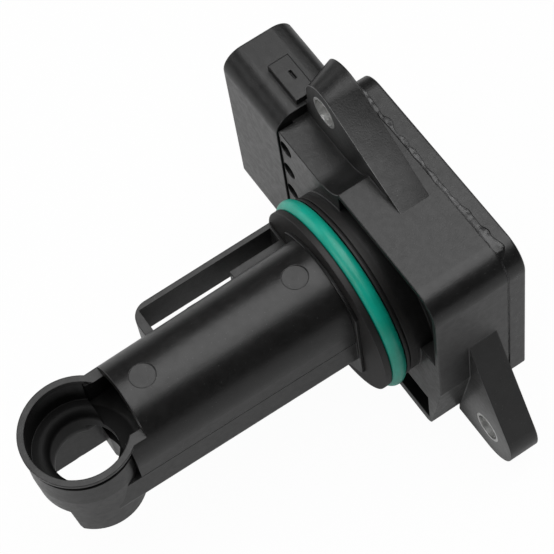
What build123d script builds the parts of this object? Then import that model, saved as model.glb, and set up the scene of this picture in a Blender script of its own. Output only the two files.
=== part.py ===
from build123d import *
import os

os.makedirs("parts", exist_ok=True)

# A plug-in mass airflow sensor. Millimetres, +Z up.
# The probe lies along Y with its tip at -Y, and the duct's air flows along Z.
# The origin is on the axis of the spigot, in the plane of the two screw ears that seats on the duct.

# Box that holds the circuit board
box_overhang = 6.0
box_left = 22.5
box_right = 21.9
box_top = 21.3
box_corner = 5.0
box_wall = 2.4
block_bottom = 25.3
block_slant = 3.6
block_bend = 8.0
block_foot_corner = 2.0
case_bottom = 15.4
case_foot_corner = 7.0
case_back = 7.8
front_wall = 4.6
pocket_rim = 1.0
pocket_corner = 3.8
upper_pocket_bottom = 1.5
upper_pocket_depth = 2.6
lower_pocket_rim = 2.2
lower_pocket_right_wall = 4.0
lower_pocket_depth = 9.0

# Lowered step in front of the upper ear, which clears the duct's screw post
step_drop = 3.7
step_right = -11.0
step_ramp = 6.5
parting_gap = 0.35

# Spigot and its seal
boss_length = 2.0
boss_radius = 16.9
relief_line = 0.3
rear_land = 0.6
land_radius = 17.1
front_land = 1.1
seal_diameter = 3.0
seal_clearance = 0.05
seal_radius = 16.4
well_radius = 12.0
well_depth = 3.6

# Screw ears and their metal bushes
ear_thickness = 5.5
ear_radius = 6.8
upper_ear_draft = 18.0
upper_hole_inset = 5.6
upper_hole_rise = 3.0
lower_hole_overhang = 4.5
lower_hole_rise = 5.1
upper_ear_end = 4.3
upper_ear_root = 3.0
lower_ear_end = 2.5
lower_ear_foot = 18.1
bush_bore_radius = 2.45
bush_wall = 0.5
bush_stand = 0.1

# Plug shroud
shroud_reach = 16.0
shroud_front = 6.25
shroud_rear = 7.5
shroud_top = 20.0
shroud_bottom = 19.0
shroud_wall = 1.9
shroud_corner = 3.8
socket_depth = 13.0
latch_width = 4.0
latch_length = 8.5
latch_height = 1.3
latch_setback = 6.8
latch_notch_length = 1.9
latch_notch_width = 0.4
latch_notch_depth = 0.5
latch_notch_setback = 2.9

# Round core holes in the front of the neck
core_hole_radius = 1.6
core_hole_pitch = 6.8
core_hole_depth = 3.0
core_hole_x = -20.5
core_hole_z = 7.4

# Lid and the glue under it
lid_glue = 0.25
lid_thickness = 3.3
lid_edge_round = 0.4
lid_tongue = 1.4
lid_tongue_width = 1.2
lid_tongue_clearance = 0.2
glue_width = 1.5
glue_proud = 0.15

# Probe
ring_reach = 46.9
crown_length = 37.7
crown_lean = 0.2
skirt_front_reach = 5.1
crown_radius_tip = 9.0
crown_radius_root = 9.5
crown_centre_height = 4.6
probe_bottom = 6.3
probe_edge_round = 1.5
probe_wall = 1.6
seam_height = 0.9
seam_gap = 0.1
pin_mark_radius = 2.2
pin_mark_depth = 0.32
pin_mark_front = 4.4
pin_mark_pitch = 29.0

# Ring at the tip, with its axis along Z
ring_radius = 9.65
rim_height = 9.5
rim_depth = 0.7
rim_overhang = 0.3
rim_wall = 1.15
rim_groove_height = 1.5
rim_groove_depth = 0.65
draft_start = 2.0
foot_radius = 8.45
foot_chamfer = 0.3
cheek_bottom = 11.1
cheek_front = 6.1
cheek_slope = 1.6
front_wall_bottom = 4.5
well_floor = 3.2
throat_radius = 5.65
throat_top = 1.4
throat_bottom = -3.0
slot_half_width = 5.6

# Root of the probe, which plugs into the spigot
root_radius = 13.8
root_half_width = 10.2
root_stand = 0.6
plug_depth = 5.0
plug_inset = 2.0
plug_clearance = 0.05

# Guard loop of the air temperature sensor, on the -X side
guard_reach = 16.6
guard_bar = 1.0
guard_top = 3.0
guard_bottom = 4.2
guard_length = 28.2
guard_end = 1.6
guard_corner = 3.2
guard_block_reach = 12.8
guard_block_length = 10.6
lead_radius = 0.25
lead_spacing = 1.6
lead_x = -11.9
lead_depth = 2.0
bead_radius = 1.1
bead_length = 2.6
bead_chamfer = 0.5
bead_reach = 17.3

# Inner passage of the probe
partition_thickness = 1.6
passage_half_width = 5.0
passage_floor = 1.7
passage_turn = 7.0
root_block = 3.0

# Circuit board, the room round it in the box, and what it carries
board_left_room = 5.6
board_right_room = 1.0
board_end_room = 2.4
board_thickness = 0.8
board_stand = 2.2
board_clearance = 0.1
stand_radius = 1.7
stand_inset = 2.6
chip_size = 9.0
chip_thickness = 1.5
chip_offset = 4.0
chip_chamfer = 0.3
capacitor_length = 3.2
capacitor_width = 1.8
capacitor_thickness = 1.3
capacitor_pitch = 4.6
capacitor_count = 4
capacitor_offset = 8.0
gel_thickness = 2.4
gel_inset = 0.5
gel_left_inset = 4.5

# Plug blades
blade_count = 5
blade_pitch = 5.4
blade_width = 2.2
blade_thickness = 0.64
blade_tip_setback = 2.4
blade_inner_reach = 2.6
blade_clearance = 0.02
blade_tip_chamfer = 0.2
wire_width = 0.5
wire_thickness = 0.15
wire_rise = 1.6
wire_bend = 0.4
wire_inset = 0.8
wire_landing = 1.6

# Posts and elements in the passage
post_radius = 0.35
post_clearance = 0.05
post_count = 4
post_pitch = 3.0
post_height = 5.6
element_setback = 20.5
element_radius = 0.4
element_gap = 0.05

box_front = -box_overhang
box_floor = box_front + front_wall
boss_front = box_front - boss_length
groove_width = seal_diameter + 2 * seal_clearance
rear_land_front = boss_front - relief_line - rear_land
groove_front = rear_land_front - groove_width
spigot_front = groove_front - front_land
groove_floor_radius = seal_radius - seal_diameter / 2 - seal_clearance
lid_front = case_back + lid_glue
lid_back = lid_front + lid_thickness
neck_top = box_top - step_drop
mouth_x = -box_left - shroud_reach
socket_floor_x = mouth_x + socket_depth
cavity_left = -box_left + box_wall
shroud_centre_y = (shroud_rear - shroud_front) / 2
shroud_centre_z = (shroud_top - shroud_bottom) / 2
root_face = spigot_front - root_stand
plug_end = spigot_front + plug_depth
crown_front = root_face - crown_length
ring_y = spigot_front - ring_reach
skirt_front = ring_y + skirt_front_reach
rim_bottom = rim_height - rim_depth
wall_top = rim_bottom - rim_groove_height
bell_radius = well_floor - throat_top
guard_front = spigot_front - guard_length
upper_hole = (-box_left + upper_hole_inset, box_top + upper_hole_rise)
lower_hole = (box_right + lower_hole_overhang, -block_bottom + lower_hole_rise)
board_left = cavity_left + board_left_room
board_right = box_right - box_wall - board_right_room
board_width = board_right - board_left
board_height = box_top + case_bottom - 2 * box_wall - 2 * board_end_room
board_x = (board_left + board_right) / 2
board_z = (box_top - case_bottom) / 2
board_bottom = box_floor + board_stand
board_top = board_bottom + board_thickness
cavity_step = board_bottom - board_clearance
partition_bottom = seam_height - partition_thickness


def across(y):
    """Plane across the probe at y, seen from the tip: sketch x is X and sketch y is Z."""
    return Plane.XZ.offset(-y)


def case_outline(y, inset=0.0, drop=0.0):
    """Outline of the rear case at y, which the cavity, the glue and the lid share."""
    centre = ((box_right - box_left) / 2, (box_top - drop - case_bottom) / 2)
    with BuildSketch(across(y)) as outline:
        with Locations(centre):
            Rectangle(box_right + box_left - 2 * inset, box_top - drop + case_bottom - 2 * inset)
        upper = outline.vertices().group_by(Axis.Y)[-1]
        lower = outline.vertices().group_by(Axis.Y)[0]
        fillet(upper, box_corner - inset)
        fillet(lower, case_foot_corner - inset)
    return outline.sketch


def probe_width(y):
    """Half width of the probe at y, which grows slowly from the tip to the root."""
    along = (y - skirt_front) / (root_face - skirt_front)
    return crown_radius_tip + along * (crown_radius_root - crown_radius_tip)


def crown_section(y, inset=0.0, bottom=seam_height + seam_gap):
    """Half-round upper half of the probe at y, down to the seam."""
    half = probe_width(y) - inset
    with BuildSketch(across(y)) as section:
        with BuildLine():
            Line((-half, bottom), (half, bottom))
            Line((half, bottom), (half, crown_centre_height))
            ThreePointArc(
                (half, crown_centre_height),
                (0, crown_centre_height + half),
                (-half, crown_centre_height),
            )
            Line((-half, crown_centre_height), (-half, bottom))
        make_face()
    return section.sketch


def keel_section(y):
    """Lower half of the probe at y, up to the seam."""
    half = probe_width(y)
    with BuildSketch(across(y)) as section:
        with Locations((0, (seam_height - probe_bottom) / 2)):
            Rectangle(2 * half, seam_height + probe_bottom)
        fillet(section.vertices().group_by(Axis.Y)[0], probe_edge_round)
    return section.sketch


def ring_outline(z, inset=0.0):
    """Round plan of the tip ring at height z."""
    with BuildSketch(Plane.XY.offset(z)) as outline:
        with Locations((0, ring_y)):
            Circle(ring_radius - inset)
    return outline.sketch


def root_outline(y, inset=0.0):
    """Outline of the probe's root at y: a circle cut by two flats."""
    with BuildSketch(across(y)) as outline:
        Circle(root_radius - inset)
        Rectangle(2 * (root_half_width - inset), 2 * root_radius, mode=Mode.INTERSECT)
    return outline.sketch


def ear(hole, foot, draft=0.0):
    """Screw ear: a round end round the hole, joined to its foot on the box, narrower in front by the draft."""
    with BuildPart() as blank:
        with BuildSketch(across(ear_thickness)):
            with Locations(hole):
                Circle(ear_radius)
            with BuildLine():
                Polyline(*foot, close=True)
            make_face()
            make_hull()
        extrude(amount=ear_thickness, taper=draft)
    return blank.part


def bush(hole):
    """Metal bush that takes the clamp load of one screw."""
    with BuildPart() as tube:
        with BuildSketch(across(ear_thickness + bush_stand)):
            with Locations(hole):
                Circle(bush_bore_radius + bush_wall)
                Circle(bush_bore_radius, mode=Mode.SUBTRACT)
        extrude(amount=ear_thickness + bush_stand)
    return tube.part


upper_foot = (
    (upper_hole[0] - ear_radius, box_top - upper_ear_root),
    (upper_ear_end - box_wall, box_top - box_wall),
    (upper_ear_end, box_top),
)
lower_foot = (
    (lower_ear_foot, lower_hole[1] - ear_radius),
    (box_right - box_wall, lower_ear_end - box_wall),
    (box_right, lower_ear_end),
)
upper_ear = ear(upper_hole, upper_foot, upper_ear_draft)
lower_ear = ear(lower_hole, lower_foot)
blade_heights = [(i - (blade_count - 1) / 2) * blade_pitch + shroud_centre_z for i in range(blade_count)]
post_places = [(i - (post_count - 1) / 2) * post_pitch for i in range(post_count)]
element_y = crown_front + element_setback
lead_z = (guard_top - guard_bottom) / 2
lead_places = [(lead_x, lead_z + side * lead_spacing / 2) for side in (-1, 1)]
block_face = spigot_front - guard_block_length
bead_back = spigot_front - bead_reach
stand_places = [
    (board_x + side_x * (board_width / 2 - stand_inset), board_z + side_z * (board_height / 2 - stand_inset))
    for side_x in (-1, 1)
    for side_z in (-1, 1)
]

# Housing: spigot, boss, box, ears and plug shroud in one moulding
with BuildPart() as housing:
    # Front block, with its lower right side slanted
    with BuildSketch(across(ear_thickness)) as block_profile:
        with BuildLine():
            Polyline(
                (-box_left, -block_bottom),
                (box_right - block_slant, -block_bottom),
                (box_right, -block_bend),
                (box_right, box_top),
                (-box_left, box_top),
                close=True,
            )
        make_face()
        fillet(block_profile.vertices().group_by(Axis.Y)[0], block_foot_corner)
        fillet(block_profile.vertices().group_by(Axis.Y)[-1].sort_by(Axis.X)[-1], box_corner)
    extrude(amount=ear_thickness + box_overhang)
    # Rear case
    extrude(case_outline(case_back), amount=case_back - ear_thickness / 2)
    # Boss and spigot with the seal groove
    with BuildSketch(Plane.XY):
        with BuildLine():
            Polyline(
                (0, box_floor),
                (boss_radius, box_floor),
                (boss_radius, boss_front),
                (boss_radius - relief_line, boss_front),
                (boss_radius - relief_line, boss_front - relief_line),
                (land_radius, boss_front - relief_line),
                (land_radius, rear_land_front),
                (groove_floor_radius, rear_land_front),
                (groove_floor_radius, groove_front),
                (land_radius, groove_front),
                (land_radius, spigot_front),
                (0, spigot_front),
                close=True,
            )
        make_face()
    revolve(axis=Axis.Y)
    # Plug shroud with its latch pad
    with BuildSketch(Plane.YZ.offset(mouth_x)):
        with Locations((shroud_centre_y, shroud_centre_z)):
            RectangleRounded(shroud_front + shroud_rear, shroud_top + shroud_bottom, shroud_corner)
    extrude(amount=shroud_reach)
    with BuildSketch(Plane.XY.offset(shroud_top - shroud_wall)):
        with Locations((mouth_x + latch_setback + latch_length / 2, shroud_centre_y)):
            Rectangle(latch_length, latch_width)
    extrude(amount=shroud_wall + latch_height)
    with BuildSketch(Plane.XY.offset(shroud_top + latch_height)):
        with Locations((mouth_x + latch_setback + latch_notch_setback, shroud_centre_y + latch_notch_width)):
            Rectangle(latch_notch_length, latch_notch_width, align=(Align.MIN, Align.CENTER))
    extrude(amount=-latch_notch_depth, mode=Mode.SUBTRACT)
    # Clearance step in front of the upper ear
    ramp_radius = (step_ramp**2 + step_drop**2) / (2 * step_drop)
    with BuildSketch(across(0)):
        with BuildLine():
            Line((-box_left, neck_top), (step_right, neck_top))
            RadiusArc((step_right, neck_top), (step_right + step_ramp, box_top), -ramp_radius)
            Line((step_right + step_ramp, box_top), (-box_left, box_top))
            Line((-box_left, box_top), (-box_left, neck_top))
        make_face()
    extrude(amount=box_overhang, mode=Mode.SUBTRACT)
    # Recesses in the front that keep the walls even
    with BuildSketch(across(box_front + upper_pocket_depth)) as pocket:
        with Locations((step_right + step_ramp, upper_pocket_bottom)):
            Rectangle(
                box_right - pocket_rim - step_right - step_ramp,
                box_top - pocket_rim - upper_pocket_bottom,
                align=(Align.MIN, Align.MIN),
            )
        fillet(pocket.vertices().group_by(Axis.Y)[-1].sort_by(Axis.X)[-1], pocket_corner)
        Circle(boss_radius, mode=Mode.SUBTRACT)
    extrude(amount=upper_pocket_depth, mode=Mode.SUBTRACT)
    with BuildSketch(across(box_front + lower_pocket_depth)):
        with Locations((cavity_left, -block_bottom + lower_pocket_rim)):
            Rectangle(
                box_right - lower_pocket_right_wall - cavity_left,
                block_bottom - lower_pocket_rim - case_bottom,
                align=(Align.MIN, Align.MIN),
            )
        Circle(boss_radius, mode=Mode.SUBTRACT)
    extrude(amount=lower_pocket_depth, mode=Mode.SUBTRACT)
    # Ears and the seats of their bushes
    add(upper_ear)
    add(lower_ear)
    with BuildSketch(across(ear_thickness)):
        with Locations(upper_hole, lower_hole):
            Circle(bush_bore_radius + bush_wall)
    extrude(amount=ear_thickness, mode=Mode.SUBTRACT)
    # Cavity for the board, open at the back and lower behind the step, with a well into the spigot
    extrude(case_outline(case_back, box_wall), amount=case_back - cavity_step, mode=Mode.SUBTRACT)
    extrude(
        case_outline(cavity_step, box_wall, step_drop),
        amount=cavity_step - box_floor,
        mode=Mode.SUBTRACT,
    )
    with BuildSketch(across(box_floor)):
        Circle(well_radius)
    extrude(amount=well_depth, mode=Mode.SUBTRACT)
    # Posts that carry the board
    with BuildSketch(across(board_bottom)):
        with Locations(*stand_places):
            Circle(stand_radius)
    extrude(amount=board_stand + front_wall - upper_pocket_depth)
    # Socket for the plug, and the slots of the blades
    with BuildSketch(Plane.YZ.offset(mouth_x)):
        with Locations((shroud_centre_y, shroud_centre_z)):
            RectangleRounded(
                shroud_front + shroud_rear - 2 * shroud_wall,
                shroud_top + shroud_bottom - 2 * shroud_wall,
                shroud_corner - shroud_wall,
            )
    extrude(amount=socket_depth, mode=Mode.SUBTRACT)
    with BuildSketch(Plane.YZ.offset(socket_floor_x)):
        with Locations(*[(shroud_centre_y, z) for z in blade_heights]):
            Rectangle(blade_thickness + 2 * blade_clearance, blade_width + 2 * blade_clearance)
    extrude(amount=cavity_left - socket_floor_x, mode=Mode.SUBTRACT)
    # Core holes and the parting gap beside the shroud
    with BuildSketch(across(box_front)):
        with Locations(*[(core_hole_x, core_hole_z + i * core_hole_pitch) for i in (-1, 0, 1)]):
            Circle(core_hole_radius)
        with Locations((-box_left + parting_gap / 2, 0)):
            Rectangle(parting_gap, 2 * neck_top)
    extrude(amount=-core_hole_depth, mode=Mode.SUBTRACT)
    # Seat of the probe's plug, and the holes of the sensing posts
    extrude(root_outline(plug_end, plug_inset - plug_clearance), amount=plug_depth, mode=Mode.SUBTRACT)
    with BuildSketch(across(box_floor)):
        with Locations(*[(x, post_height) for x in post_places]):
            Circle(post_radius + post_clearance)
    extrude(amount=box_floor - plug_end, mode=Mode.SUBTRACT)
housing.part.label = "housing"

# Lid with the tongue that locates it in the cavity
with BuildPart() as lid:
    extrude(case_outline(lid_back), amount=lid_thickness)
    fillet(lid.faces().sort_by(Axis.Y)[-1].edges(), lid_edge_round)
    tongue_inset = box_wall + lid_tongue_clearance
    extrude(case_outline(lid_front, tongue_inset), amount=lid_tongue + lid_glue)
    inner_inset = tongue_inset + lid_tongue_width
    extrude(case_outline(lid_front, inner_inset), amount=lid_tongue + lid_glue, mode=Mode.SUBTRACT)
lid.part.label = "lid"

# Bead of adhesive, squeezed out a little past the walls
with BuildPart() as lid_adhesive:
    extrude(case_outline(lid_front, -glue_proud), amount=lid_glue)
    extrude(case_outline(lid_front, glue_width), amount=lid_glue, mode=Mode.SUBTRACT)
lid_adhesive.part.label = "lid_adhesive"

# Seal ring in the spigot groove
with BuildPart() as o_ring:
    with BuildSketch(Plane.XY):
        with Locations((seal_radius, (groove_front + rear_land_front) / 2)):
            Circle(seal_diameter / 2)
    revolve(axis=Axis.Y)
o_ring.part.label = "o_ring"

bush_upper = bush(upper_hole)
bush_upper.label = "bush_upper"
bush_lower = bush(lower_hole)
bush_lower.label = "bush_lower"

# Lower half of the probe: root flange and plug, keel, tip ring and guard loop
with BuildPart() as bypass_base:
    loft(sections=[keel_section(ring_y), keel_section(root_face)])
    # Root flange, and the plug that is bonded into the spigot
    extrude(root_outline(spigot_front), amount=root_stand)
    extrude(root_outline(plug_end, plug_inset), amount=plug_depth + root_stand)
    # Wall of the tip ring, straight at the top and drafted below, with a collar under the rim
    with BuildSketch(Plane.XZ.offset(-ring_y)) as ring_wall:
        with BuildLine():
            Polyline(
                (0, -cheek_bottom),
                (foot_radius, -cheek_bottom),
                (ring_radius - rim_overhang, draft_start),
                (ring_radius - rim_overhang, wall_top),
                (ring_radius - rim_groove_depth, wall_top),
                (ring_radius - rim_groove_depth, rim_bottom),
                (0, rim_bottom),
                close=True,
            )
        make_face()
        chamfer(ring_wall.vertices().group_by(Axis.Y)[0].sort_by(Axis.X)[-1], foot_chamfer)
    revolve(axis=Axis((0, ring_y, 0), (0, 0, 1)))
    # Guard loop with its rounded corner, its foot and the block that holds the leads
    with BuildSketch(Plane.XY.offset(-guard_bottom)) as guard_plan:
        with Locations((-guard_reach, guard_front)):
            Rectangle(guard_reach, guard_length, align=(Align.MIN, Align.MIN))
        fillet(guard_plan.vertices().group_by(Axis.Y)[0].sort_by(Axis.X)[0], guard_corner)
        with Locations((-guard_reach + guard_bar, guard_front + guard_end)):
            Rectangle(
                guard_reach - guard_bar,
                guard_length - guard_end,
                align=(Align.MIN, Align.MIN),
                mode=Mode.SUBTRACT,
            )
        with Locations((-guard_reach, root_face)):
            Rectangle(guard_reach, root_stand, align=(Align.MIN, Align.MIN))
        with Locations((-guard_block_reach, spigot_front - guard_block_length)):
            Rectangle(guard_block_reach, guard_block_length, align=(Align.MIN, Align.MIN))
    extrude(amount=guard_top + guard_bottom)
    # Room for the cover above the seam
    loft(
        sections=[
            crown_section(skirt_front - seam_gap, -seam_gap, seam_height),
            crown_section(root_face, -seam_gap, seam_height),
        ],
        mode=Mode.SUBTRACT,
    )
    # Well, bellmouth and throat of the ring
    extrude(ring_outline(well_floor, rim_wall), amount=rim_height, mode=Mode.SUBTRACT)
    with BuildSketch(Plane.XZ.offset(-ring_y)):
        with BuildLine():
            Line((0, well_floor), (throat_radius + bell_radius, well_floor))
            CenterArc((throat_radius + bell_radius, throat_top), bell_radius, 90, 90)
            Line((throat_radius, throat_top), (throat_radius, -cheek_bottom))
            Line((throat_radius, -cheek_bottom), (0, -cheek_bottom))
            Line((0, -cheek_bottom), (0, well_floor))
        make_face()
    revolve(axis=Axis((0, ring_y, 0), (0, 0, 1)), mode=Mode.SUBTRACT)
    # Open slot between the cheeks, and their sloped front ends
    with BuildSketch(Plane.XY.offset(throat_bottom)):
        with Locations((0, ring_y - ring_radius)):
            Rectangle(
                2 * slot_half_width,
                skirt_front - ring_y + ring_radius,
                align=(Align.CENTER, Align.MIN),
            )
    extrude(amount=-cheek_bottom, mode=Mode.SUBTRACT)
    with BuildSketch(Plane.YZ.offset(-ring_radius)):
        with BuildLine():
            Polyline(
                (ring_y - 2 * ring_radius, -front_wall_bottom),
                (ring_y - cheek_front - cheek_slope, -front_wall_bottom),
                (ring_y - cheek_front, -cheek_bottom),
                (ring_y - 2 * ring_radius, -cheek_bottom),
                close=True,
            )
        make_face()
    extrude(amount=2 * ring_radius, mode=Mode.SUBTRACT)
    # Return passage under the partition, from the turn at the root to the throat
    with BuildSketch(Plane.XY.offset(partition_bottom)):
        with Locations((0, ring_y)):
            Rectangle(
                2 * passage_half_width,
                root_face - root_block - ring_y,
                align=(Align.CENTER, Align.MIN),
            )
    extrude(amount=-(probe_bottom - passage_floor + partition_bottom), mode=Mode.SUBTRACT)
    with BuildSketch(Plane.XY.offset(partition_bottom)):
        with Locations((0, root_face - root_block)):
            Rectangle(2 * passage_half_width, passage_turn, align=(Align.CENTER, Align.MAX))
    extrude(amount=partition_thickness, mode=Mode.SUBTRACT)
    # Holes of the sensing posts and of the leads
    with BuildSketch(across(plug_end)):
        with Locations(*[(x, post_height) for x in post_places]):
            Circle(post_radius + post_clearance)
    extrude(amount=plug_depth + root_stand, mode=Mode.SUBTRACT)
    with BuildSketch(across(block_face + lead_depth)):
        with Locations(*lead_places):
            Circle(lead_radius + post_clearance)
    extrude(amount=lead_depth, mode=Mode.SUBTRACT)
bypass_base.part.label = "bypass_base"

# Upper half of the probe: half-round crown and the rim of the tip ring
with BuildPart() as bypass_cover:
    loft(sections=[crown_section(skirt_front), crown_section(root_face)])
    # Front of the crown, cut down to the rim so that the sides of the neck run on to the ring
    with BuildSketch(Plane.YZ.offset(-ring_radius)):
        with BuildLine():
            Polyline(
                (ring_y, rim_height),
                (crown_front - crown_lean, rim_height),
                (crown_front, crown_centre_height + crown_radius_root),
                (ring_y, crown_centre_height + crown_radius_root),
                close=True,
            )
        make_face()
    extrude(amount=2 * ring_radius, mode=Mode.SUBTRACT)
    # Rim of the ring
    extrude(ring_outline(rim_bottom), amount=rim_depth)
    extrude(ring_outline(rim_bottom, rim_wall), amount=rim_depth, mode=Mode.SUBTRACT)
    # Passage from the ring through the neck and the crown
    loft(
        sections=[crown_section(ring_y, probe_wall), crown_section(root_face, probe_wall)],
        mode=Mode.SUBTRACT,
    )
    # Marks of the two ejector pins
    for mark in range(2):
        mark_y = crown_front + pin_mark_front + mark * pin_mark_pitch
        mark_height = crown_centre_height + probe_width(mark_y) - pin_mark_depth
        with BuildSketch(Plane.XY.offset(mark_height)):
            with Locations((0, mark_y)):
                Circle(pin_mark_radius)
        extrude(amount=pin_mark_radius, mode=Mode.SUBTRACT)
bypass_cover.part.label = "bypass_cover"

# Air temperature sensor between the probe and the guard bar
with BuildPart() as thermistor_bead:
    with BuildSketch(across(bead_back)):
        with Locations((lead_x, lead_z)):
            Circle(bead_radius)
    extrude(amount=bead_length)
    chamfer(thermistor_bead.edges().filter_by(GeomType.CIRCLE), bead_chamfer)
thermistor_bead.part.label = "thermistor_bead"

with BuildPart() as thermistor_lead_upper:
    with BuildSketch(across(block_face + lead_depth)):
        with Locations(lead_places[1]):
            Circle(lead_radius)
    extrude(amount=block_face + lead_depth - bead_back)
thermistor_lead_upper.part.label = "thermistor_lead_upper"

with BuildPart() as thermistor_lead_lower:
    with BuildSketch(across(block_face + lead_depth)):
        with Locations(lead_places[0]):
            Circle(lead_radius)
    extrude(amount=block_face + lead_depth - bead_back)
thermistor_lead_lower.part.label = "thermistor_lead_lower"

# Circuit board on its posts, with holes for the sensing posts
with BuildPart() as circuit_board:
    with BuildSketch(across(board_top)):
        with Locations((board_x, board_z)):
            Rectangle(board_width, board_height)
        with Locations(*[(x, post_height) for x in post_places]):
            Circle(post_radius + post_clearance, mode=Mode.SUBTRACT)
    extrude(amount=board_thickness)
circuit_board.part.label = "circuit_board"

with BuildPart() as signal_chip:
    with BuildSketch(across(board_top)):
        with Locations((board_x + chip_offset, board_z)):
            Rectangle(chip_size, chip_size)
    extrude(amount=-chip_thickness)
    chamfer(signal_chip.faces().sort_by(Axis.Y)[-1].edges(), chip_chamfer)
signal_chip.part.label = "signal_chip"

with BuildPart() as capacitors:
    with BuildSketch(across(board_top)):
        with Locations((board_x - capacitor_offset, board_z)):
            with GridLocations(capacitor_pitch, capacitor_pitch, 1, capacitor_count):
                Rectangle(capacitor_length, capacitor_width)
    extrude(amount=-capacitor_thickness)
capacitors.part.label = "capacitors"

# Soft gel over the board, round what stands on it
with BuildPart() as board_gel:
    with BuildSketch(across(board_top)):
        with Locations((board_x + (gel_left_inset - gel_inset) / 2, board_z)):
            Rectangle(board_width - gel_left_inset - gel_inset, board_height - 2 * gel_inset)
        with Locations(*[(x, post_height) for x in post_places]):
            Circle(post_radius + post_clearance, mode=Mode.SUBTRACT)
    extrude(amount=-gel_thickness)
    add(signal_chip.part, mode=Mode.SUBTRACT)
    add(capacitors.part, mode=Mode.SUBTRACT)
board_gel.part.label = "board_gel"

# Posts that carry the two elements, in one row
with BuildPart() as sensing_posts:
    with BuildSketch(across(board_top)):
        with Locations(*[(x, post_height) for x in post_places]):
            Circle(post_radius)
    extrude(amount=board_top - element_y)
sensing_posts.part.label = "sensing_posts"


def element(left_post):
    """Wound element across the ends of two neighbouring posts."""
    start = post_places[left_post] - post_radius
    with BuildPart() as rod:
        with BuildSketch(Plane.YZ.offset(start)):
            with Locations((element_y - element_radius - element_gap, post_height)):
                Circle(element_radius)
        extrude(amount=post_pitch + 2 * post_radius)
    return rod.part


hot_wire = element(0)
hot_wire.label = "hot_wire"
cold_wire = element(2)
cold_wire.label = "cold_wire"

# Plug blades, from the socket into the cavity
for number, height in enumerate(blade_heights, start=1):
    with BuildPart() as blade:
        with BuildSketch(Plane.YZ.offset(mouth_x + blade_tip_setback)):
            with Locations((shroud_centre_y, height)):
                Rectangle(blade_thickness, blade_width)
        extrude(amount=cavity_left + blade_inner_reach - mouth_x - blade_tip_setback)
        chamfer(blade.faces().sort_by(Axis.X)[0].edges(), blade_tip_chamfer)
    blade.part.label = f"terminal_{number}"
    export_step(blade.part, f"parts/terminal_{number}.step")

# Wires from the blades to the board
with BuildPart() as bond_wires:
    wire_start = cavity_left + blade_inner_reach - wire_inset
    wire_end = board_x - board_width / 2 + wire_landing
    blade_face = shroud_centre_y + blade_thickness / 2
    wire_top = board_top + wire_rise
    for height in blade_heights:
        with BuildLine() as route:
            FilletPolyline(
                (wire_start, blade_face, height),
                (wire_start, wire_top, height),
                (wire_end, wire_top, height),
                (wire_end, board_top, height),
                radius=wire_bend,
            )
        with BuildSketch(Plane((wire_start, blade_face, height), x_dir=(1, 0, 0), z_dir=(0, 1, 0))):
            Rectangle(wire_thickness, wire_width)
        sweep(path=route.wires()[0])
bond_wires.part.label = "bond_wires"

export_step(housing.part, "parts/housing.step")
export_step(lid.part, "parts/lid.step")
export_step(lid_adhesive.part, "parts/lid_adhesive.step")
export_step(o_ring.part, "parts/o_ring.step")
export_step(bush_upper, "parts/bush_upper.step")
export_step(bush_lower, "parts/bush_lower.step")
export_step(bypass_base.part, "parts/bypass_base.step")
export_step(bypass_cover.part, "parts/bypass_cover.step")
export_step(thermistor_bead.part, "parts/thermistor_bead.step")
export_step(thermistor_lead_upper.part, "parts/thermistor_lead_upper.step")
export_step(thermistor_lead_lower.part, "parts/thermistor_lead_lower.step")
export_step(circuit_board.part, "parts/circuit_board.step")
export_step(signal_chip.part, "parts/signal_chip.step")
export_step(capacitors.part, "parts/capacitors.step")
export_step(board_gel.part, "parts/board_gel.step")
export_step(sensing_posts.part, "parts/sensing_posts.step")
export_step(hot_wire, "parts/hot_wire.step")
export_step(cold_wire, "parts/cold_wire.step")
export_step(bond_wires.part, "parts/bond_wires.step")
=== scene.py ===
import math
import bpy
from mathutils import Matrix, Vector, noise


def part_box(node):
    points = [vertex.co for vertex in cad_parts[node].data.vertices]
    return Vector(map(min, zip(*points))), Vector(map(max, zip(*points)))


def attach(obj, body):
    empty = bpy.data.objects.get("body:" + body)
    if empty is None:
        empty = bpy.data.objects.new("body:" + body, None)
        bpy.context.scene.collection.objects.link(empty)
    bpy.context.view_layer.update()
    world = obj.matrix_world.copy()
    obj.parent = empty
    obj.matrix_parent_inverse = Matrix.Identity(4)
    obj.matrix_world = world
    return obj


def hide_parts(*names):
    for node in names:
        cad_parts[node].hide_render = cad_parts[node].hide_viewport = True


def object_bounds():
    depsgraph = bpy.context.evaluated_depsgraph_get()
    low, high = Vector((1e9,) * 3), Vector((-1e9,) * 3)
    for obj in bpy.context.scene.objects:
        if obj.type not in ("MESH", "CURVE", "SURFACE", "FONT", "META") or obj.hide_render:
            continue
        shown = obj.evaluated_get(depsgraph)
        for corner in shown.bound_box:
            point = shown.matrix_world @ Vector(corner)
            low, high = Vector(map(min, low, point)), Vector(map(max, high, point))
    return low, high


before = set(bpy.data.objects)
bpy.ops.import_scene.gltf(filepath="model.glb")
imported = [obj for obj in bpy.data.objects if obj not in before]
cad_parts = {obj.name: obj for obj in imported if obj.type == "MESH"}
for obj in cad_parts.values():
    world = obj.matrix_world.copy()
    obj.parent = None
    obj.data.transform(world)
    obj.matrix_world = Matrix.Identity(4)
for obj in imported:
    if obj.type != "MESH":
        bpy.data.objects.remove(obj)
cad_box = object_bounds()

# Housing: the spigot, the electronics box, the two screw ears and the plug shroud in one shot.
# It is glass-filled black polyester from an eroded steel mould, so its skin is satin, a little uneven
# in gloss and faintly grained, and its edges are soft.
MM = 0.001
recess_reach = 9.0
open_shine, recess_shine = 0.5, 0.3
recess_gloss = 0.75
wave_height, grain_height = 0.1, 0.02


def shader(material, kind, **values):
    """Adds a shader node to a material and sets its properties."""
    node = material.node_tree.nodes.new(kind)
    for name, value in values.items():
        setattr(node, name, value)
    return node


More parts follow.
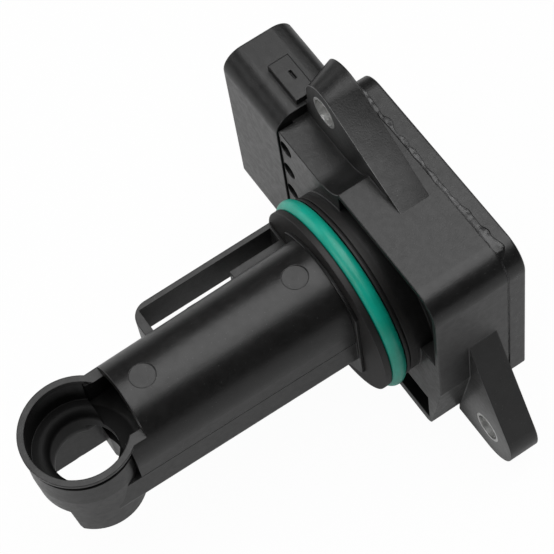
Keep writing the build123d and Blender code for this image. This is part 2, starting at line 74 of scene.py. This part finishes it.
def empty_material(name):
    """A new material with no nodes in it."""
    material = bpy.data.materials.new(name)
    material.use_nodes = True
    material.node_tree.nodes.clear()
    return material


def cloud(material, scale, detail, low, high, start=0.35, end=0.65):
    """Noise with patches 1/scale mm across, between low and high where it runs from start to end."""
    links = material.node_tree.links
    place = shader(material, "ShaderNodeTexCoord")
    size = shader(material, "ShaderNodeMapping")
    size.inputs["Scale"].default_value = (1 / MM, 1 / MM, 1 / MM)
    patches = shader(material, "ShaderNodeTexNoise")
    patches.inputs["Scale"].default_value = scale
    patches.inputs["Detail"].default_value = detail
    links.new(place.outputs["Object"], size.inputs["Vector"])
    links.new(size.outputs["Vector"], patches.inputs["Vector"])
    return spread(material, patches.outputs["Fac"], start, end, low, high)


def blend(material, factor, first, second):
    """Mix of two colours, each a value or another node's output."""
    mix = shader(material, "ShaderNodeMix", data_type="RGBA")
    for socket, colour in (("A", first), ("B", second)):
        if isinstance(colour, tuple):
            mix.inputs[socket].default_value = (*colour, 1)
        else:
            material.node_tree.links.new(colour, mix.inputs[socket])
    material.node_tree.links.new(factor, mix.inputs["Factor"])
    return mix.outputs["Result"]


def level(material, factor, first, second):
    """Mix of two numbers, each a value or another node's output."""
    mix = shader(material, "ShaderNodeMix", data_type="FLOAT")
    for socket, number in (("A", first), ("B", second)):
        if isinstance(number, float):
            mix.inputs[socket].default_value = number
        else:
            material.node_tree.links.new(number, mix.inputs[socket])
    material.node_tree.links.new(factor, mix.inputs["Factor"])
    return mix.outputs["Result"]


def spread(material, value, start, end, low=0.0, high=1.0):
    """Stretches a value from start..end to low..high, and holds it there beyond."""
    span = shader(material, "ShaderNodeMapRange")
    span.inputs["From Min"].default_value = start
    span.inputs["From Max"].default_value = end
    span.inputs["To Min"].default_value = low
    span.inputs["To Max"].default_value = high
    material.node_tree.links.new(value, span.inputs["Value"])
    return span.outputs["Result"]


def recess(material, reach):
    """1 deep in a recess and 0 on an open face."""
    shelter = shader(material, "ShaderNodeAmbientOcclusion", samples=6)
    shelter.inputs["Distance"].default_value = reach * MM
    return spread(material, shelter.outputs["AO"], 0.12, 0.5, 1.0, 0.0)


def moulded_plastic(
        name, dark, pale, smooth, rough, edge_radius, grain,
        dust=(0.05, 0.05, 0.05), zones=None, wave=0.12):
    """Moulding with cloudy colour and gloss, specks of dust, a fine grain over slow waves and soft edges.

    Recesses are painted darker, as painted shade, and made duller than open faces. Zones change what
    differs by place.
    """
    material = empty_material(name)
    links = material.node_tree.links
    surface = shader(material, "ShaderNodeBsdfPrincipled")
    colour = blend(material, cloud(material, 0.3, 4, 0, 1), dark, pale)
    colour = blend(material, cloud(material, 3.2, 2, 0, 1, 0.68, 0.76), colour, dust)
    gloss = cloud(material, 0.9, 6, smooth, rough)
    deep = recess(material, recess_reach)
    shine = level(material, deep, open_shine, recess_shine)
    if zones:
        colour, gloss, shine = zones(material, colour, gloss, shine)
    links.new(shine, surface.inputs["Specular IOR Level"])
    # Painted shade: recesses take half of the dark colour.
    recess_shade_colour = tuple(0.5 * share for share in dark)
    links.new(blend(material, deep, colour, recess_shade_colour), surface.inputs["Base Color"])
    links.new(level(material, deep, gloss, recess_gloss), surface.inputs["Roughness"])
    edges = shader(material, "ShaderNodeBevel", samples=8)
    edges.inputs["Radius"].default_value = edge_radius * MM
    waves = shader(material, "ShaderNodeBump")
    waves.inputs["Strength"].default_value = wave
    waves.inputs["Distance"].default_value = wave_height * MM
    skin = shader(material, "ShaderNodeBump")
    skin.inputs["Strength"].default_value = grain
    skin.inputs["Distance"].default_value = grain_height * MM
    links.new(edges.outputs["Normal"], waves.inputs["Normal"])
    links.new(cloud(material, 0.22, 1, 0, 1), waves.inputs["Height"])
    links.new(waves.outputs["Normal"], skin.inputs["Normal"])
    links.new(cloud(material, 4.0, 2, 0, 1), skin.inputs["Height"])
    links.new(skin.outputs["Normal"], surface.inputs["Normal"])
    out = shader(material, "ShaderNodeOutputMaterial")
    links.new(surface.outputs["BSDF"], out.inputs["Surface"])
    return material


def finish_node(node, material):
    """Gives a CAD piece its material."""
    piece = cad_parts[node]
    piece.data.materials.clear()
    piece.data.materials.append(material)
    return piece


upper_hole = (-16.9, 24.3)
lower_hole = (26.4, -20.2)
spigot_back = -6.6


def along_axes(material):
    """The place on the piece, as its X, Y and Z outputs."""
    place = shader(material, "ShaderNodeTexCoord")
    parts = shader(material, "ShaderNodeSeparateXYZ")
    material.node_tree.links.new(place.outputs["Object"], parts.inputs["Vector"])
    return parts.outputs


def near_axis(material, centre, counted, inside, outside):
    """1 round an axis, falling to 0 between two distances from it; counted is 0 along the axis."""
    place = shader(material, "ShaderNodeTexCoord")
    across = shader(material, "ShaderNodeVectorMath", operation="SUBTRACT")
    across.inputs[1].default_value = tuple(value * MM for value in centre)
    flat = shader(material, "ShaderNodeVectorMath", operation="MULTIPLY")
    flat.inputs[1].default_value = counted
    far = shader(material, "ShaderNodeVectorMath", operation="LENGTH")
    links = material.node_tree.links
    links.new(place.outputs["Object"], across.inputs[0])
    links.new(across.outputs["Vector"], flat.inputs[0])
    links.new(flat.outputs["Vector"], far.inputs[0])
    return spread(material, far.outputs["Value"], inside * MM, outside * MM, 1.0, 0.0)


def near_hole(material, hole, inside, outside):
    """1 round a screw hole of the ears."""
    return near_axis(material, (hole[0], 0, hole[1]), (1, 0, 1), inside, outside)


def front_face(material):
    """1 on faces that look towards the tip."""
    facing = shader(material, "ShaderNodeNewGeometry")
    parts = shader(material, "ShaderNodeSeparateXYZ")
    material.node_tree.links.new(facing.outputs["Normal"], parts.inputs["Vector"])
    return spread(material, parts.outputs["Y"], -0.95, -0.8, 1.0, 0.0)


def both(material, first, second):
    """Product of two shares: 1 only where both are 1."""
    share = shader(material, "ShaderNodeMath", operation="MULTIPLY")
    material.node_tree.links.new(first, share.inputs[0])
    material.node_tree.links.new(second, share.inputs[1])
    return share.outputs["Value"]


def housing_zones(material, colour, gloss, shine):
    """A duller spigot, faintly brown and painted darker as painted shade, and ear fronts painted paler
    round the screws as a painted reflection.
    """
    forward = along_axes(material)["Y"]
    spigot = spread(material, forward, (spigot_back - 0.3) * MM, spigot_back * MM, 1.0, 0.0)
    # Painted shade: the spigot is coloured darker than the housing, with a faint brown tint.
    colour = blend(material, spigot, colour, (0.0075, 0.0066, 0.0062))
    gloss = level(material, spigot, gloss, 0.55)
    front = front_face(material)
    upper = both(material, front, near_hole(material, upper_hole, 4.0, 9.0))
    lower = both(material, front, near_hole(material, lower_hole, 4.0, 11.0))
    # Painted reflection: the ear fronts are coloured paler round the screws.
    colour = blend(material, upper, colour, (0.055, 0.055, 0.055))
    colour = blend(material, lower, colour, (0.15, 0.15, 0.15))
    return colour, gloss, shine


housing_plastic = moulded_plastic(
    "housing plastic", dark=(0.0095, 0.0095, 0.0095), pale=(0.013, 0.013, 0.013),
    smooth=0.29, rough=0.37, edge_radius=0.35, grain=0.3, zones=housing_zones)
finish_node("housing", housing_plastic)

# Web of the upper ear: the ear is drafted at its round end and runs out square at its foot,
# so a slim wedge of the same plastic fills its side. A hair of flash stands along its front edge; its
# pale colour is a painted highlight.
ear_thickness = 5.5
ear_radius = 6.8
ear_draft_angle = 18
ear_draft = ear_thickness * math.tan(math.radians(ear_draft_angle))
ear_foot = (4.3, 21.3)
web_steps = 32
web_rows = 9
web_depth = 1.5
flash_radius = 0.06
flash_end = 195.0


def tangent_turn(centre, radius, point):
    """Angle at which the line from a point touches a circle on its right side."""
    across = Vector(point) - Vector(centre)
    return math.degrees(math.atan2(across.y, across.x) + math.acos(radius / across.length))


def on_circle(centre, radius, turn):
    """Point of a circle at an angle in degrees."""
    around = math.radians(turn)
    return Vector((centre[0] + radius * math.cos(around), centre[1] + radius * math.sin(around)))


def tube_faces(stations, ring, closed=False):
    """Quads that join rings of points, each ring to the next, and the last to the first if closed."""
    faces = []
    for here in range(stations if closed else stations - 1):
        there = (here + 1) % stations
        for j in range(ring):
            beside = (j + 1) % ring
            faces.append((here * ring + j, there * ring + j, there * ring + beside, here * ring + beside))
    return faces


def new_piece(name, points, faces, material):
    """A closed mesh in millimetres that rides with the part."""
    mesh = bpy.data.meshes.new(name)
    mesh.from_pydata([tuple(value * MM for value in point) for point in points], [], faces)
    mesh.materials.append(material)
    piece = bpy.data.objects.new(name, mesh)
    bpy.context.scene.collection.objects.link(piece)
    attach(piece, "root")
    return piece


front_radius = ear_radius - ear_draft
back_turn = tangent_turn(upper_hole, ear_radius, ear_foot)
front_turn = tangent_turn(upper_hole, front_radius, ear_foot)
outward = on_circle((0.0, 0.0), 1.0, back_turn)
web_points = []
for step in range(web_steps + 1):
    share = step / web_steps
    back_point = on_circle(upper_hole, ear_radius, back_turn).lerp(Vector(ear_foot), share)
    front_point = on_circle(upper_hole, front_radius, front_turn).lerp(Vector(ear_foot), share)
    for row in range(web_rows):
        spot = front_point.lerp(back_point, row / (web_rows - 1))
        web_points.append((spot.x, ear_thickness * row / (web_rows - 1), spot.y))
    kept = front_point - outward * (0.05 + 0.8 * ear_draft * share)
    web_points += [(kept.x, web_depth, kept.y), (kept.x, 0.0, kept.y)]
web_ring = web_rows + 2
web_faces = tube_faces(web_steps + 1, web_ring)
web_faces.append(tuple(reversed(range(web_ring))))
web_faces.append(tuple(web_steps * web_ring + j for j in range(web_ring)))
web_plastic = moulded_plastic(
    "ear web plastic", dark=(0.0095, 0.0095, 0.0095), pale=(0.013, 0.013, 0.013),
    smooth=0.29, rough=0.37, edge_radius=0.03, grain=0.3)
new_piece("upper_ear_web", web_points, web_faces, web_plastic)


def line_of_flash(name, points, radius, material):
    """Thin round bead of plastic along a row of points, thinner and thicker by turns."""
    route = bpy.data.curves.new(name, "CURVE")
    route.dimensions = "3D"
    route.bevel_depth = radius * MM
    route.bevel_resolution = 2
    spline = route.splines.new("POLY")
    spline.points.add(len(points) - 1)
    for spot, place in zip(spline.points, points):
        spot.co = (*(Vector(place) * MM), 1)
        spot.radius = 0.8 + 0.5 * noise.noise(Vector(place) * 0.9)
    bead = bpy.data.objects.new(name, route)
    bpy.context.scene.collection.objects.link(bead)
    route.materials.append(material)
    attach(bead, "root")
    return bead


# Painted highlight: the flash is coloured many times paler than the housing.
flash_highlight_plastic = moulded_plastic(
    "flash painted highlight", dark=(0.10, 0.10, 0.10), pale=(0.2, 0.2, 0.2),
    smooth=0.35, rough=0.5, edge_radius=0.02, grain=0.2)
flash_route = [
    on_circle(upper_hole, front_radius, front_turn).lerp(Vector(ear_foot), 1 - i / web_steps)
    for i in range(web_steps)
]
flash_route += [
    on_circle(upper_hole, front_radius, front_turn + (flash_end - front_turn) * i / web_steps)
    for i in range(web_steps + 1)
]
line_of_flash("ear_flash", [(p.x, 0.0, p.y) for p in flash_route], flash_radius, flash_highlight_plastic)

# Bushes: turned steel sleeves with bright plating, moulded into the ears.
# They take the load of the two screws, so that the plastic doesn't creep under it.


def bright_metal(name, colour, smooth, rough, edge_radius=0.08):
    """Plated or drawn metal with a faint change of gloss."""
    material = empty_material(name)
    links = material.node_tree.links
    surface = shader(material, "ShaderNodeBsdfPrincipled")
    surface.inputs["Metallic"].default_value = 1.0
    dull = tuple(0.72 * share for share in colour)
    links.new(blend(material, cloud(material, 0.8, 3, 0, 1), colour, dull), surface.inputs["Base Color"])
    links.new(cloud(material, 1.6, 3, smooth, rough), surface.inputs["Roughness"])
    edges = shader(material, "ShaderNodeBevel", samples=8)
    edges.inputs["Radius"].default_value = edge_radius * MM
    links.new(edges.outputs["Normal"], surface.inputs["Normal"])
    out = shader(material, "ShaderNodeOutputMaterial")
    links.new(surface.outputs["BSDF"], out.inputs["Surface"])
    return material


bush_metal = bright_metal("bush plating", (0.92, 0.92, 0.91), smooth=0.34, rough=0.48)
finish_node("bush_upper", bush_metal)
finish_node("bush_lower", bush_metal)

# Seal: a green rubber ring of round section, stretched into the groove of the spigot.
# It is moulded in two halves, so it keeps a slight satin skin.
seal_rubber = moulded_plastic(
    "seal rubber", dark=(0.0, 0.31, 0.215), pale=(0.002, 0.37, 0.27),
    smooth=0.33, rough=0.42, edge_radius=0.1, grain=0.12, dust=(0.02, 0.42, 0.32))
finish_node("o_ring", seal_rubber)

# Adhesive: grey-black silicone, run round the wall of the box and squeezed out unevenly by the lid.
# A thick run of it was wiped along the lid's edge towards the upper right corner.
glue_low, glue_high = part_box("lid_adhesive")
lid_low, lid_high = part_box("lid")
glue_front, glue_back = glue_low.y / MM, glue_high.y / MM
case_left, case_right = lid_low.x / MM, lid_high.x / MM
case_foot, case_top = lid_low.z / MM, lid_high.z / MM
top_corner, foot_corner = 5.0, 7.0
glue_depth = 1.5
glue_step = 0.3
glue_rows = 10
glue_lift = 0.012
glue_tuck = 0.01
side_sink = 0.12
wiped_start, wiped_end = -1.0, case_right - 1.0


def case_edge(step):
    """Points with outward directions round the rear case, seen from behind, a step apart."""
    corners = [
        (case_right - top_corner, case_top - top_corner, top_corner, 90, 0),
        (case_right - foot_corner, case_foot + foot_corner, foot_corner, 0, -90),
        (case_left + foot_corner, case_foot + foot_corner, foot_corner, -90, -180),
        (case_left + top_corner, case_top - top_corner, top_corner, -180, -270),
    ]
    stations = []
    for x, z, radius, start, end in corners:
        count = max(2, round(radius * math.pi / 2 / step))
        for i in range(count + 1):
            turn = math.radians(start + (end - start) * i / count)
            out = Vector((math.cos(turn), 0, math.sin(turn)))
            stations.append((Vector((x, 0, z)) + radius * out, out))
    edge = []
    for (here, out), (there, next_out) in zip(stations, stations[1:] + stations[:1]):
        count = max(1, round((there - here).length / step))
        for i in range(count):
            edge.append((here.lerp(there, i / count), out.lerp(next_out, i / count).normalized()))
    return edge


def uneven(place, scale, seed):
    """Slow irregularity between 0 and 1 along the bead."""
    return min(1.0, max(0.0, 0.5 + 0.8 * noise.noise(place * scale + Vector((seed, seed, seed)))))


glue_points = []
glue_edge = case_edge(glue_step)
for place, out in glue_edge:
    # Only the top side is squeezed out. Round the rest the bead lies below the seam.
    on_top = min(1.0, max(0.0, (out.z - 0.75) / 0.2))
    onto_case = on_top * 0.25 * uneven(place, 0.45, 3.1)
    onto_lid = on_top * (0.15 + 0.7 * uneven(place, 0.55, 7.7))
    proud = -side_sink + on_top * (0.2 + 0.1 * uneven(place, 0.8, 11.3))
    along = min(1.0, max(0.0, (place.x - wiped_start) / (wiped_end - wiped_start)))
    onto_lid += on_top * 1.7 * along ** 3 * (0.6 + 0.4 * uneven(place, 0.5, 1.9))
    proud += on_top * 0.06 * along
    for row in range(glue_rows):
        share = row / (glue_rows - 1)
        across = glue_front - onto_case + share * (glue_back - glue_front + onto_case + onto_lid)
        swell = math.sin(math.pi * share) ** 0.6
        ripple = on_top * 0.12 * noise.noise(Vector((place.x, across * 1.7, place.z)) * 1.3)
        spot = place + out * (glue_lift + (proud + ripple) * swell)
        glue_points.append((spot.x, across, spot.z))
    for across in (glue_back - glue_tuck, glue_front + glue_tuck):
        spot = place - out * glue_depth
        glue_points.append((spot.x, across, spot.z))
adhesive = moulded_plastic(
    "lid adhesive", dark=(0.012, 0.012, 0.012), pale=(0.075, 0.075, 0.076),
    smooth=0.14, rough=0.4, edge_radius=0.03, grain=0.5, dust=(0.12, 0.12, 0.12), wave=0.5)
glue_faces = tube_faces(len(glue_edge), glue_rows + 2, closed=True)
glue_bead = new_piece("lid_bead", glue_points, glue_faces, adhesive)
glue_bead.data.shade_smooth()
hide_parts("lid_adhesive")

# Lid: a flat cap of the same polyester, moulded in another tool.
# It is glued over the back of the box once the board is in.
lid_plastic = moulded_plastic(
    "lid plastic", dark=(0.0095, 0.0095, 0.0095), pale=(0.014, 0.014, 0.014),
    smooth=0.27, rough=0.36, edge_radius=0.35, grain=0.2)
finish_node("lid", lid_plastic)

# Probe: two half shells of the same plastic, welded along the side seam and bonded into the spigot.
# The upper shell keeps the round marks of two ejector pins.
ring_axis = -60.0
well_radius, well_blend = 8.5, 0.2
well_floor, foot_blend = -2.5, 0.8


def probe_zones(material, colour, gloss, shine):
    """Paints shade into the inside of the tip ring, making it darker and matter than the outside."""
    round_axis = near_axis(
        material, (0, ring_axis, 0), (1, 1, 0), well_radius - well_blend, well_radius + well_blend)
    upward = along_axes(material)["Z"]
    above = spread(material, upward, (well_floor - foot_blend) * MM, (well_floor + foot_blend) * MM)
    well = both(material, round_axis, above)
    # Painted shade: the inside of the tip ring takes a near-black colour.
    colour = blend(material, well, colour, (0.006, 0.006, 0.006))
    gloss = level(material, well, gloss, 0.5)
    shine = level(material, well, shine, 0.15)
    return colour, gloss, shine


probe_plastic = moulded_plastic(
    "probe plastic", dark=(0.0088, 0.0086, 0.0086), pale=(0.012, 0.0118, 0.0117),
    smooth=0.28, rough=0.36, edge_radius=0.22, grain=0.25, zones=probe_zones)
finish_node("bypass_base", probe_plastic)
finish_node("bypass_cover", probe_plastic)

# Air temperature sensor: a small bead dipped in dark epoxy.
# It hangs in the slot of the guard loop on two tinned leads.
bead_epoxy = moulded_plastic(
    "bead epoxy", dark=(0.012, 0.012, 0.012), pale=(0.018, 0.018, 0.018),
    smooth=0.15, rough=0.25, edge_radius=0.1, grain=0.2)
finish_node("thermistor_bead", bead_epoxy)
lead_wire = bright_metal("tinned lead", (0.6, 0.6, 0.58), smooth=0.3, rough=0.45, edge_radius=0.02)
finish_node("thermistor_lead_upper", lead_wire)
finish_node("thermistor_lead_lower", lead_wire)

# Plug blades: stamped bronze with a matt tin plating.
# They stand in a row in the shroud and pass through its floor into the box.
blade_count = 5
blade_tin = bright_metal("blade tin", (0.7, 0.7, 0.68), smooth=0.3, rough=0.45, edge_radius=0.04)
for number in range(1, blade_count + 1):
    finish_node(f"terminal_{number}", blade_tin)

# Inside: the ceramic board with its parts, the bond wires, the gel, and the posts with the elements.
# None of it shows while the lid is on.
finish_node("circuit_board", moulded_plastic(
    "board ceramic", dark=(0.62, 0.61, 0.56), pale=(0.7, 0.69, 0.64),
    smooth=0.5, rough=0.6, edge_radius=0.1, grain=0.1, dust=(0.5, 0.5, 0.46)))
finish_node("signal_chip", moulded_plastic(
    "chip resin", dark=(0.02, 0.02, 0.022), pale=(0.03, 0.03, 0.033),
    smooth=0.45, rough=0.55, edge_radius=0.1, grain=0.3))
finish_node("capacitors", moulded_plastic(
    "capacitor ceramic", dark=(0.42, 0.33, 0.22), pale=(0.5, 0.4, 0.28),
    smooth=0.4, rough=0.5, edge_radius=0.1, grain=0.1, dust=(0.5, 0.45, 0.35)))
finish_node("board_gel", moulded_plastic(
    "board gel", dark=(0.6, 0.6, 0.54), pale=(0.66, 0.66, 0.6),
    smooth=0.1, rough=0.15, edge_radius=0.1, grain=0.1, dust=(0.7, 0.7, 0.65)))
finish_node("bond_wires", bright_metal(
    "bond aluminium", (0.8, 0.8, 0.8), smooth=0.25, rough=0.35, edge_radius=0.02))
finish_node("sensing_posts", bright_metal(
    "post plating", (0.6, 0.58, 0.52), smooth=0.3, rough=0.4, edge_radius=0.03))
element_glaze = bright_metal(
    "element glaze", (0.7, 0.69, 0.66), smooth=0.25, rough=0.35, edge_radius=0.03)
finish_node("hot_wire", element_glaze)
finish_node("cold_wire", element_glaze)

# Stage: a sheet of pale paper that stays white to the camera and keeps a faint shadow.
# What the object mirrors of it is dimmed. Soft boxes hang above and stand round the object in a dim room.
low, high = cad_box
floor_half = 3.0
shadow_share = 0.97
mirrored_share = 0.5
mirrored_loss = 0.55
floor_height = low[2] - 0.2 * MM
floor_mesh = bpy.data.meshes.new("floor")
floor_mesh.from_pydata(
    [(-floor_half, -floor_half, floor_height), (floor_half, -floor_half, floor_height),
     (floor_half, floor_half, floor_height), (-floor_half, floor_half, floor_height)],
    [], [(0, 1, 2, 3)])
floor = bpy.data.objects.new("floor", floor_mesh)
bpy.context.scene.collection.objects.link(floor)
paper = empty_material("floor paper")
links = paper.node_tree.links
matt = shader(paper, "ShaderNodeBsdfDiffuse")
matt.inputs["Color"].default_value = (0.85, 0.85, 0.85, 1)
white = shader(paper, "ShaderNodeEmission")
rays = shader(paper, "ShaderNodeLightPath")
dimmed = shader(paper, "ShaderNodeMath", operation="MULTIPLY_ADD")
dimmed.inputs[1].default_value = -mirrored_loss
dimmed.inputs[2].default_value = 1.0
links.new(rays.outputs["Is Glossy Ray"], dimmed.inputs[0])
links.new(dimmed.outputs[0], white.inputs["Strength"])
seen = shader(paper, "ShaderNodeMath", operation="MAXIMUM")
links.new(rays.outputs["Is Camera Ray"], seen.inputs[0])
links.new(rays.outputs["Is Transmission Ray"], seen.inputs[1])
faint_shadow = shader(paper, "ShaderNodeMath", operation="MULTIPLY")
faint_shadow.inputs[1].default_value = shadow_share
links.new(seen.outputs[0], faint_shadow.inputs[0])
mirrored = shader(paper, "ShaderNodeMath", operation="MULTIPLY")
mirrored.inputs[1].default_value = mirrored_share
links.new(rays.outputs["Is Glossy Ray"], mirrored.inputs[0])
share = shader(paper, "ShaderNodeMath", operation="MAXIMUM")
links.new(faint_shadow.outputs[0], share.inputs[0])
links.new(mirrored.outputs[0], share.inputs[1])
mix = shader(paper, "ShaderNodeMixShader")
links.new(share.outputs[0], mix.inputs["Fac"])
links.new(matt.outputs["BSDF"], mix.inputs[1])
links.new(white.outputs["Emission"], mix.inputs[2])
out = shader(paper, "ShaderNodeOutputMaterial")
links.new(mix.outputs["Shader"], out.inputs["Surface"])
floor_mesh.materials.append(paper)

world = bpy.data.worlds.new("dim room")
bpy.context.scene.world = world
world.use_nodes = True
room = world.node_tree.nodes["Background"]
room.inputs["Color"].default_value = (1, 1, 1, 1)
room.inputs["Strength"].default_value = 0.02
lamp_distance = 0.75


def lamp(name, from_top, turn, size, level):
    """Square soft box aimed at the origin, which lights a white sheet facing it to the given level."""
    data = bpy.data.lights.new(name, "AREA")
    data.shape = "SQUARE"
    data.size = size
    data.energy = level * math.pi ** 2 * lamp_distance ** 2
    soft_box = bpy.data.objects.new(name, data)
    tilt, around = math.radians(from_top), math.radians(turn)
    soft_box.location = (
        lamp_distance * math.sin(tilt) * math.cos(around),
        lamp_distance * math.sin(tilt) * math.sin(around),
        lamp_distance * math.cos(tilt))
    soft_box.rotation_euler = (soft_box.location * -1).to_track_quat("-Z", "Y").to_euler()
    bpy.context.scene.collection.objects.link(soft_box)
    return soft_box


lamp("overhead", 8, 130, 0.78, 0.85)
lamp("behind", 44, 105, 0.4, 0.2)
lamp("before", 65, 268, 0.45, 0.27)
lamp("beside", 72, 210, 0.5, 0.18)

camera_place = Vector((0.15901, -0.09163, 0.33384))
camera_right = Vector((0.55237, 0.82841, -0.09282))
camera_up = Vector((-0.70782, 0.52493, 0.4727))
camera_back = Vector((0.44032, -0.1954, 0.87632))
lens_pixels = 2289.27
picture_width = 554
sensor_width = 36
camera_data = bpy.data.cameras.new("camera")
camera_data.sensor_width = sensor_width
camera_data.lens = sensor_width * lens_pixels / picture_width
camera_data.clip_start = 0.01
camera = bpy.data.objects.new("camera", camera_data)
turn = Matrix((camera_right, camera_up, camera_back)).transposed()
camera.matrix_world = Matrix.Translation(camera_place) @ turn.to_4x4()
bpy.context.scene.collection.objects.link(camera)
bpy.context.scene.camera = camera
bpy.context.scene.view_settings.view_transform = "Standard"
